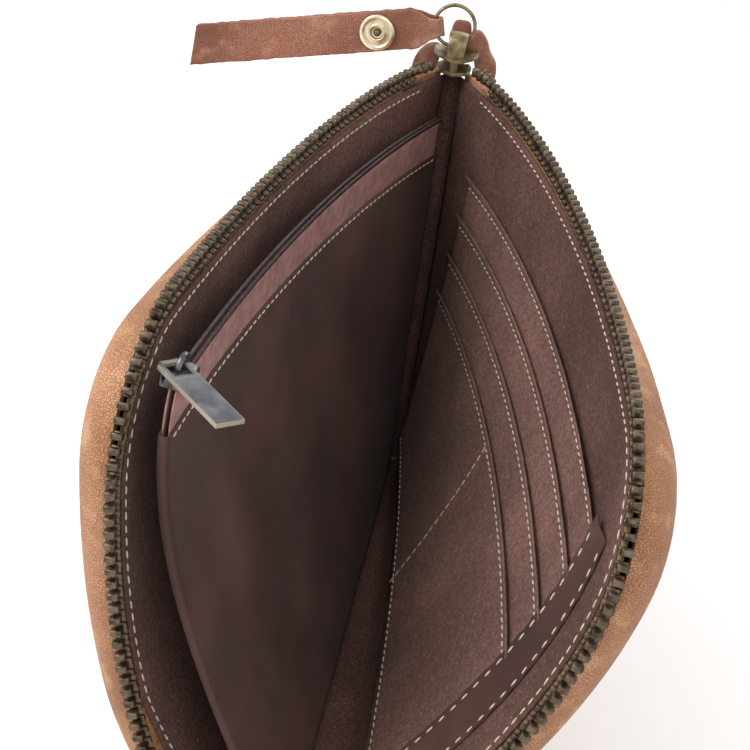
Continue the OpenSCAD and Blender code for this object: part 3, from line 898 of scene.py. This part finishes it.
gunmetal = new_finish("gunmetal", gunmetal_look, Metallic=0.85)
pull_at = 203.0
pull_top, pull_arch = 2.0, 2.6
zip_point = wall(pocket, pull_at, pocket_h)
zip_along = unit(-np.array(joint("pocket_slider_slide")["axis"]))
zip_up = zip_point - wall(pocket, pull_at, pocket_h - 6)
zip_up = unit(zip_up - (zip_up @ zip_along) * zip_along)
zip_axes = np.array([zip_along, np.cross(zip_up, zip_along), zip_up])
on_pocket_zip = mm_frame(zip_point, zip_axes)


def finish_metal(piece, place, finish, body, slot, *nodes, edge=0.2, segments=2):
    """Bevels a metal piece, sets it in its place and hands it to its body."""
    if edge:
        modify(piece, "BEVEL", width=edge, segments=segments, limit_method="ANGLE",
               angle_limit=radians(35))
    tidy_shell(piece, 1e-4)
    piece.data.transform(place)
    piece.data.shade_smooth()
    select_only(piece)
    bpy.ops.object.shade_smooth_by_angle(angle=radians(40))
    piece.data.materials.clear()
    piece.data.materials.append(finish)
    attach(piece, body)
    if nodes:
        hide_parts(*nodes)


def arch(name, radius, wire, width, legs, foot):
    """Half a flattened ring on two legs, standing on z = foot, open along y."""
    deselect()
    bpy.ops.mesh.primitive_torus_add(major_radius=radius + wire / 2, minor_radius=wire / 2,
                                     major_segments=40, minor_segments=10,
                                     rotation=(pi / 2, 0, 0))
    piece = at_origin(name, Matrix.Diagonal((1, width / wire, 1, 1)))
    bpy.ops.object.mode_set(mode="EDIT")
    bpy.ops.mesh.select_all(action="SELECT")
    bpy.ops.mesh.bisect(plane_co=(0, 0, 0.001), plane_no=(0, 0, 1), clear_inner=True, use_fill=True)
    bpy.ops.mesh.extrude_region_move(TRANSFORM_OT_translate={"value": (0, 0, -legs)})
    bpy.ops.object.mode_set(mode="OBJECT")
    piece.data.transform(Matrix.Translation((0, 0, foot + legs)))
    return piece


pocket_body = block("pocket_slider", (8, 6.2, 3.2), (0, 0, 0.3))
inset_faces(pocket_body, lambda c, n: n.z > 0.9, (0.9, 0.35))
inset_faces(pocket_body, lambda c, n: abs(n.x) > 0.9, (0.7, -0.9))
faces_where(pocket_body, lambda c, n: n.x > 0.9 and c.x > 3.9)
bpy.ops.transform.resize(value=(1, 0.8, 1))
finish_metal(pocket_body, on_pocket_zip, gunmetal, "pocket_slider", "gunmetal", "pocket_slider",
             edge=0.35)
pocket_arch = arch("pocket_slider_arch", pull_arch, 0.8, 1.3, 0.5, pull_top)
finish_metal(pocket_arch, on_pocket_zip, gunmetal, "pocket_slider", "gunmetal", edge=0)

pull_turn, pull_l, pull_w, pull_t, window = radians(50), 23.0, 6.8, 1.0, 4.2
pull_shift = (pull_arch + 0.4) * sin(pull_turn)
pull = block("pocket_pull", (pull_l, pull_w, pull_t), (pull_l / 2 - 0.5, 0, 0))
bpy.context.view_layer.objects.active = pull
bpy.ops.object.mode_set(mode="EDIT")
for x in (-0.5, window + 1.3):
    bpy.ops.mesh.select_all(action="SELECT")
    bpy.ops.mesh.bisect(plane_co=(x + (0.001 if x < 0 else 0), 0, 0), plane_no=(1, 0, 0))
bpy.ops.object.mode_set(mode="OBJECT")
faces_where(pull, lambda c, n: abs(n.z) > 0.9 and c.x < window)
bpy.ops.mesh.inset(thickness=1.2, depth=0, use_individual=True)
bpy.ops.mesh.delete(type="FACE")
bpy.ops.mesh.select_mode(type="EDGE")
bpy.ops.mesh.select_all(action="DESELECT")
bpy.ops.mesh.select_non_manifold()
bpy.ops.mesh.bridge_edge_loops()
bpy.ops.object.mode_set(mode="OBJECT")
inset_faces(pull, lambda c, n: abs(n.z) > 0.9 and c.x > window + 1.4, (0.3, 0), (0.3, 0), each=True)
hang = (on_pocket_zip @ Matrix.Translation((0, 0, pull_top + 1)) @ Matrix.Rotation(pull_turn, 4, "Z")
        @ Matrix.Translation((0, -pull_shift, 0)))
finish_metal(pull, hang, gunmetal, "pocket_pull", "gunmetal", "pocket_pull", edge=0.18)

stop = block("pocket_stop", (1.1, 4.2, 1.6))
inset_faces(stop, lambda c, n: n.z > 0.9, (0.25, 0.2))
stop_place = mm_frame(wall(pocket, pocket_near - 1, pocket_h), zip_axes)
finish_metal(stop, stop_place, tooth_finish, "pocket", "light_brass", "pocket_stop", edge=0.2)


# ---- Main slider, its arch and the ring
# A cast brass slider joins the two rows; an arched bail on its top plate
# holds a plain wire ring.
slider_low, slider_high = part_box("slider_body")
slider_mid = (slider_low + slider_high) / 2
bail_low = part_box("slider_bail")[0]
plate_t, post_r = 1.1, 1.2
slider_l = (slider_high.x - slider_low.x) * 1000
slider_w = (slider_high.y - slider_low.y) * 1000
plate_gap = (slider_high.z - slider_low.z) * 1000 - 2 * plate_t
slider_place = mm_at(slider_mid)
slider_finish = new_finish("slider_brass", brass_look(srgb(228, 218, 192), srgb(98, 88, 68),
                                                      srgb(150, 134, 98)), Metallic=0.9)


def slider_plate(name, z, width, wing):
    """One plate: narrow at its tail, with its wings turned up from a shallow valley."""
    plate = block(name, (slider_l, width, plate_t), (0, 0, 0))
    bpy.context.view_layer.objects.active = plate
    bpy.ops.object.mode_set(mode="EDIT")
    bpy.ops.mesh.select_all(action="SELECT")
    bpy.ops.mesh.subdivide(number_cuts=7)
    bpy.ops.object.mode_set(mode="OBJECT")
    for vert in plate.data.vertices:
        along = vert.co.x / slider_l + 0.5
        narrow = 0.62 + 0.38 * sin(pi * min(1.0, 0.12 + 0.62 * along)) - 0.5 * max(0, along - 0.8) ** 1.2
        vert.co.y *= narrow
        vert.co.x -= 1.1 * (abs(vert.co.y) / width * 2) ** 2 * (along > 0.5)
        vert.co.z += wing * (2 * abs(vert.co.y) / width) ** 1.5 + z
    return plate


top_plate = slider_plate("slider_top_plate", plate_gap / 2 + plate_t / 2 - 0.2, slider_w * 1.1, 2.2)
finish_metal(top_plate, slider_place, slider_finish, "slider", "light_brass", "slider_body", edge=0.3)
low_plate = slider_plate("slider_low_plate", -plate_gap / 2 - plate_t / 2, slider_w * 0.84, 1.0)
finish_metal(low_plate, slider_place, slider_finish, "slider", "light_brass", edge=0.3)
deselect()
bpy.ops.mesh.primitive_cylinder_add(vertices=24, radius=post_r, depth=plate_gap + 0.4,
                                    location=(slider_l / 2 - 2.6, 0, 0))
post = at_origin("slider_post")
inset_faces(post, lambda c, n: abs(n.z) > 0.9, (0.3, 0.1), each=True)
finish_metal(post, slider_place, slider_finish, "slider", "light_brass", edge=0)

bail = arch("slider_bail", 3.3, 1.2, 6.4, 3.1, -0.1)
for vert in bail.data.vertices:
    vert.co.y *= 0.82 + 0.18 * min(1.0, vert.co.z / 6)
finish_metal(bail, mm_at((slider_mid.x, 0, bail_low.z)), slider_finish, "slider", "light_brass",
             "slider_bail", edge=0)

ring_low, ring_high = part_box("pull_ring")
ring_mid = (ring_low + ring_high) / 2
deselect()
wire_r = 0.6
ring_r = (ring_high.y - ring_low.y) * 500 - wire_r
bpy.ops.mesh.primitive_torus_add(major_radius=ring_r, minor_radius=wire_r, major_segments=72,
                                 minor_segments=14, rotation=(0, pi / 2, 0))
ring = at_origin("pull_ring")
faces_where(ring, lambda c, n: abs(c.y) < 0.35 and c.z > 0)
bpy.ops.transform.resize(value=(0.78, 1, 1), center_override=(0, 0, 0))
bpy.ops.object.mode_set(mode="OBJECT")
finish_metal(ring, mm_at(ring_mid), slider_finish, "ring", "light_brass", "pull_ring", edge=0)

stop_low, stop_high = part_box("bottom_stop")
end_stop = block("bottom_stop", tuple((stop_high - stop_low) * 1000))
inset_faces(end_stop, lambda c, n: n.z > 0.9, (0.4, 0.2))
finish_metal(end_stop, mm_at((stop_low + stop_high) / 2), tooth_finish, "shell", "antique_brass",
             "bottom_stop", edge=0.4)


# ---- Leather tabs behind the slider
# The corners of the hide are turned up into two soft lobes that close the end
# of the zip and hide the tape's ends.
def rounded(outline, between=6):
    """A smooth closed curve through an outline's points."""
    points = np.array(outline, float)
    before, after, beyond = (np.roll(points, k, axis=0) for k in (1, -1, -2))
    curve = []
    for t in np.arange(between) / between:
        curve.append(0.5 * (2 * points + (after - before) * t
                            + (2 * before - 5 * points + 4 * after - beyond) * t ** 2
                            + (3 * points - before - 3 * after + beyond) * t ** 3))
    return np.stack(curve, 1).reshape(-1, 2)


def lobe(name, outline, x_low, x_high, *nodes):
    """A soft lobe of hide, cut to an outline in y and z and turned over its edges."""
    verts = [(x_low / 1000, y / 1000, z / 1000) for y, z in rounded(outline)]
    piece = new_piece(name, verts, [tuple(range(len(verts)))])
    select_only(piece)
    bpy.ops.object.mode_set(mode="EDIT")
    bpy.ops.mesh.select_all(action="SELECT")
    bpy.ops.mesh.extrude_region_move(TRANSFORM_OT_translate={"value": ((x_high - x_low) / 1000, 0, 0)})
    bpy.ops.object.mode_set(mode="OBJECT")
    tidy_shell(piece)
    modify(piece, "BEVEL", width=0.0011, segments=4, limit_method="ANGLE", angle_limit=radians(60))
    piece.data.shade_smooth()
    settle(piece, strap_finish, "strap_leather", "shell", *nodes)


strap_finish = new_finish("strap_leather", hide_look(srgb(166, 112, 90), srgb(128, 80, 62),
                                                     srgb(198, 150, 124)), Specular_IOR_Level=0.4)
tail_x = slider_low.x * 1000
lobe("right_lobe", [(2.4, 152.5), (3.2, 156.6), (6.0, 157.4), (8.6, 154.8), (10.2, 151.4),
                    (12.6, 148.0), (13.2, 143.0), (12.0, 137.5), (8.6, 134.5), (6.6, 140.0),
                    (5.8, 147.0)], tail_x - 4.6, tail_x - 0.6, "zip_tab")
lobe("left_lobe", [(-5.6, 150.5), (-9.0, 151.2), (-12.2, 148.5), (-14.0, 144.0), (-13.6, 139.0),
                   (-10.0, 135.5), (-7.0, 138.0), (-6.0, 144.0)], tail_x - 4.4, tail_x - 0.8)
lobe("end_tab", [(-3.4, 146.0), (-3.6, 153.0), (-2.8, 158.6), (0.0, 159.6), (2.6, 158.6),
                 (3.2, 153.0), (3.0, 146.0)], tail_x - 5.6, tail_x - 3.6)


# ---- Strap and snap
# One band of hide folded through the ring, its two layers lying flat and held
# by a brass snap; its end is cut on a slant and left raw.
droop = radians(14)
strap_place = mm_at(ring_mid) @ Matrix.Rotation(droop, 4, "X")
band_t, strap_w, wire_y, loop_r = 1.3, 12.6, -ring_r, 1.75
taper_l, strap_end, slant_cut = 9.0, -84.8, 4.0


def strap_band():
    """The folded band: out along one face, round the ring's wire and back along the other."""
    out = [(-band_t / 2 - 0.05, y) for y in np.linspace(strap_end, wire_y - taper_l, 60)]
    bend = [wire_y - taper_l * (1 - t) for t in np.linspace(0, 1, 14)[1:-1]]
    out += [(-band_t / 2 - 0.05 - (loop_r + 0.05) * float(smooth((y - wire_y + taper_l) / taper_l)), y)
            for y in bend]
    radius = loop_r + band_t / 2
    half = [(-radius * cos(a), wire_y + radius * sin(a)) for a in np.linspace(0, pi / 2, 9)]
    path = out + half
    path = path + [(-x, y) for x, y in path[-2::-1]]
    rows = 11
    verts, cuts = [], []
    run = 0.0
    for k, (x, y) in enumerate(path):
        if k:
            run += hypot(x - path[k - 1][0], y - path[k - 1][1])
        wide = 5.6 + (strap_w - 5.6) * float(smooth((wire_y + 1.5 - y) / taper_l))
        for j in range(rows):
            share = j / (rows - 1) - 0.5
            z = share * wide
            end = float(smooth((y - strap_end - 12) / -12))
            ragged = 0.35 * noise.noise((y / 2.1, z / 1.7, x)) * (abs(share) > 0.49)
            bow = 0.5 * sin(y / 24.0) + 0.25 * (share * 2) ** 2 * (1 if x > 0 else -1)
            verts.append((x + bow, y + end * slant_cut * share, z + ragged))
            cuts.append((run, z))
    quads = [(i * rows + j, (i + 1) * rows + j, (i + 1) * rows + j + 1, i * rows + j + 1)
             for i in range(len(path) - 1) for j in range(rows - 1)]
    piece = new_piece("strap", [tuple(c / 1000 for c in p) for p in verts], quads)
    lay_flat(piece, cuts)
    modify(piece, "SOLIDIFY", thickness=band_t / 1000, offset=0.0)
    modify(piece, "BEVEL", width=0.0003, segments=2, limit_method="ANGLE", angle_limit=radians(60))
    piece.data.transform(strap_place @ Matrix.Scale(1000, 4))
    piece.data.shade_smooth()
    return piece, run


strap, strap_run = strap_band()
strap.data.materials.append(strap_finish)
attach(strap, "strap")
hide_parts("strap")


def brushed_brass_look(s):
    where = s.place()
    haze = s.cloud(where, 300, 3)
    worn = s.rubbed(0.5, 0.6)
    base = haze.clip(0.3, 0.7).mixed(srgb(186, 168, 128), srgb(226, 214, 186))
    return (worn * 0.6).mixed(base, srgb(248, 240, 222)), 0.3, haze, 0.00003


snap_finish = new_finish("snap_brass", brushed_brass_look, Metallic=0.9)
snap_at, snap_r = -24.5, 5.6
snap_face = band_t + 0.55


def snap_disc(name, radius, depth, *cuts):
    """A disc with rings turned in its top, each a thickness inwards and a depth up."""
    deselect()
    bpy.ops.mesh.primitive_cylinder_add(vertices=48, radius=radius, depth=depth)
    disc = at_origin(name)
    inset_faces(disc, lambda c, n: n.z > 0.9, *cuts)
    return disc


socket = snap_disc("snap_socket", snap_r, 1.2, (0.9, 0.35), (0.5, -0.6), (1.4, 0.15), (0.35, 0.45),
                   (0.4, -0.15), (0.12, -1.0))
on_strap = Matrix.Translation((snap_face, snap_at, 0)) @ Matrix.Rotation(pi / 2, 4, "Y")
finish_metal(socket, strap_place @ on_strap, snap_finish, "strap", "light_brass", "snap_socket",
             edge=0.12)
cap = snap_disc("snap_cap", 5.0, 0.9, (0.9, 0.3), (1.2, 0.15))
under_strap = Matrix.Translation((-snap_face, snap_at, 0)) @ Matrix.Rotation(-pi / 2, 4, "Y")
finish_metal(cap, strap_place @ under_strap, snap_finish, "strap", "light_brass", "snap_cap",
             edge=0.2)
deselect()
bpy.ops.mesh.primitive_uv_sphere_add(segments=20, ring_count=12, radius=1.15)
stud = at_origin("snap_spring")
faces_where(stud, lambda c, n: c.z < -0.3)
bpy.ops.transform.resize(value=(0.8, 0.8, 1))
bpy.ops.object.mode_set(mode="OBJECT")
finish_metal(stud, strap_place @ on_strap @ Matrix.Translation((0.1, 0, 0.1)), tooth_finish, "strap",
             "antique_brass", "snap_spring", edge=0)
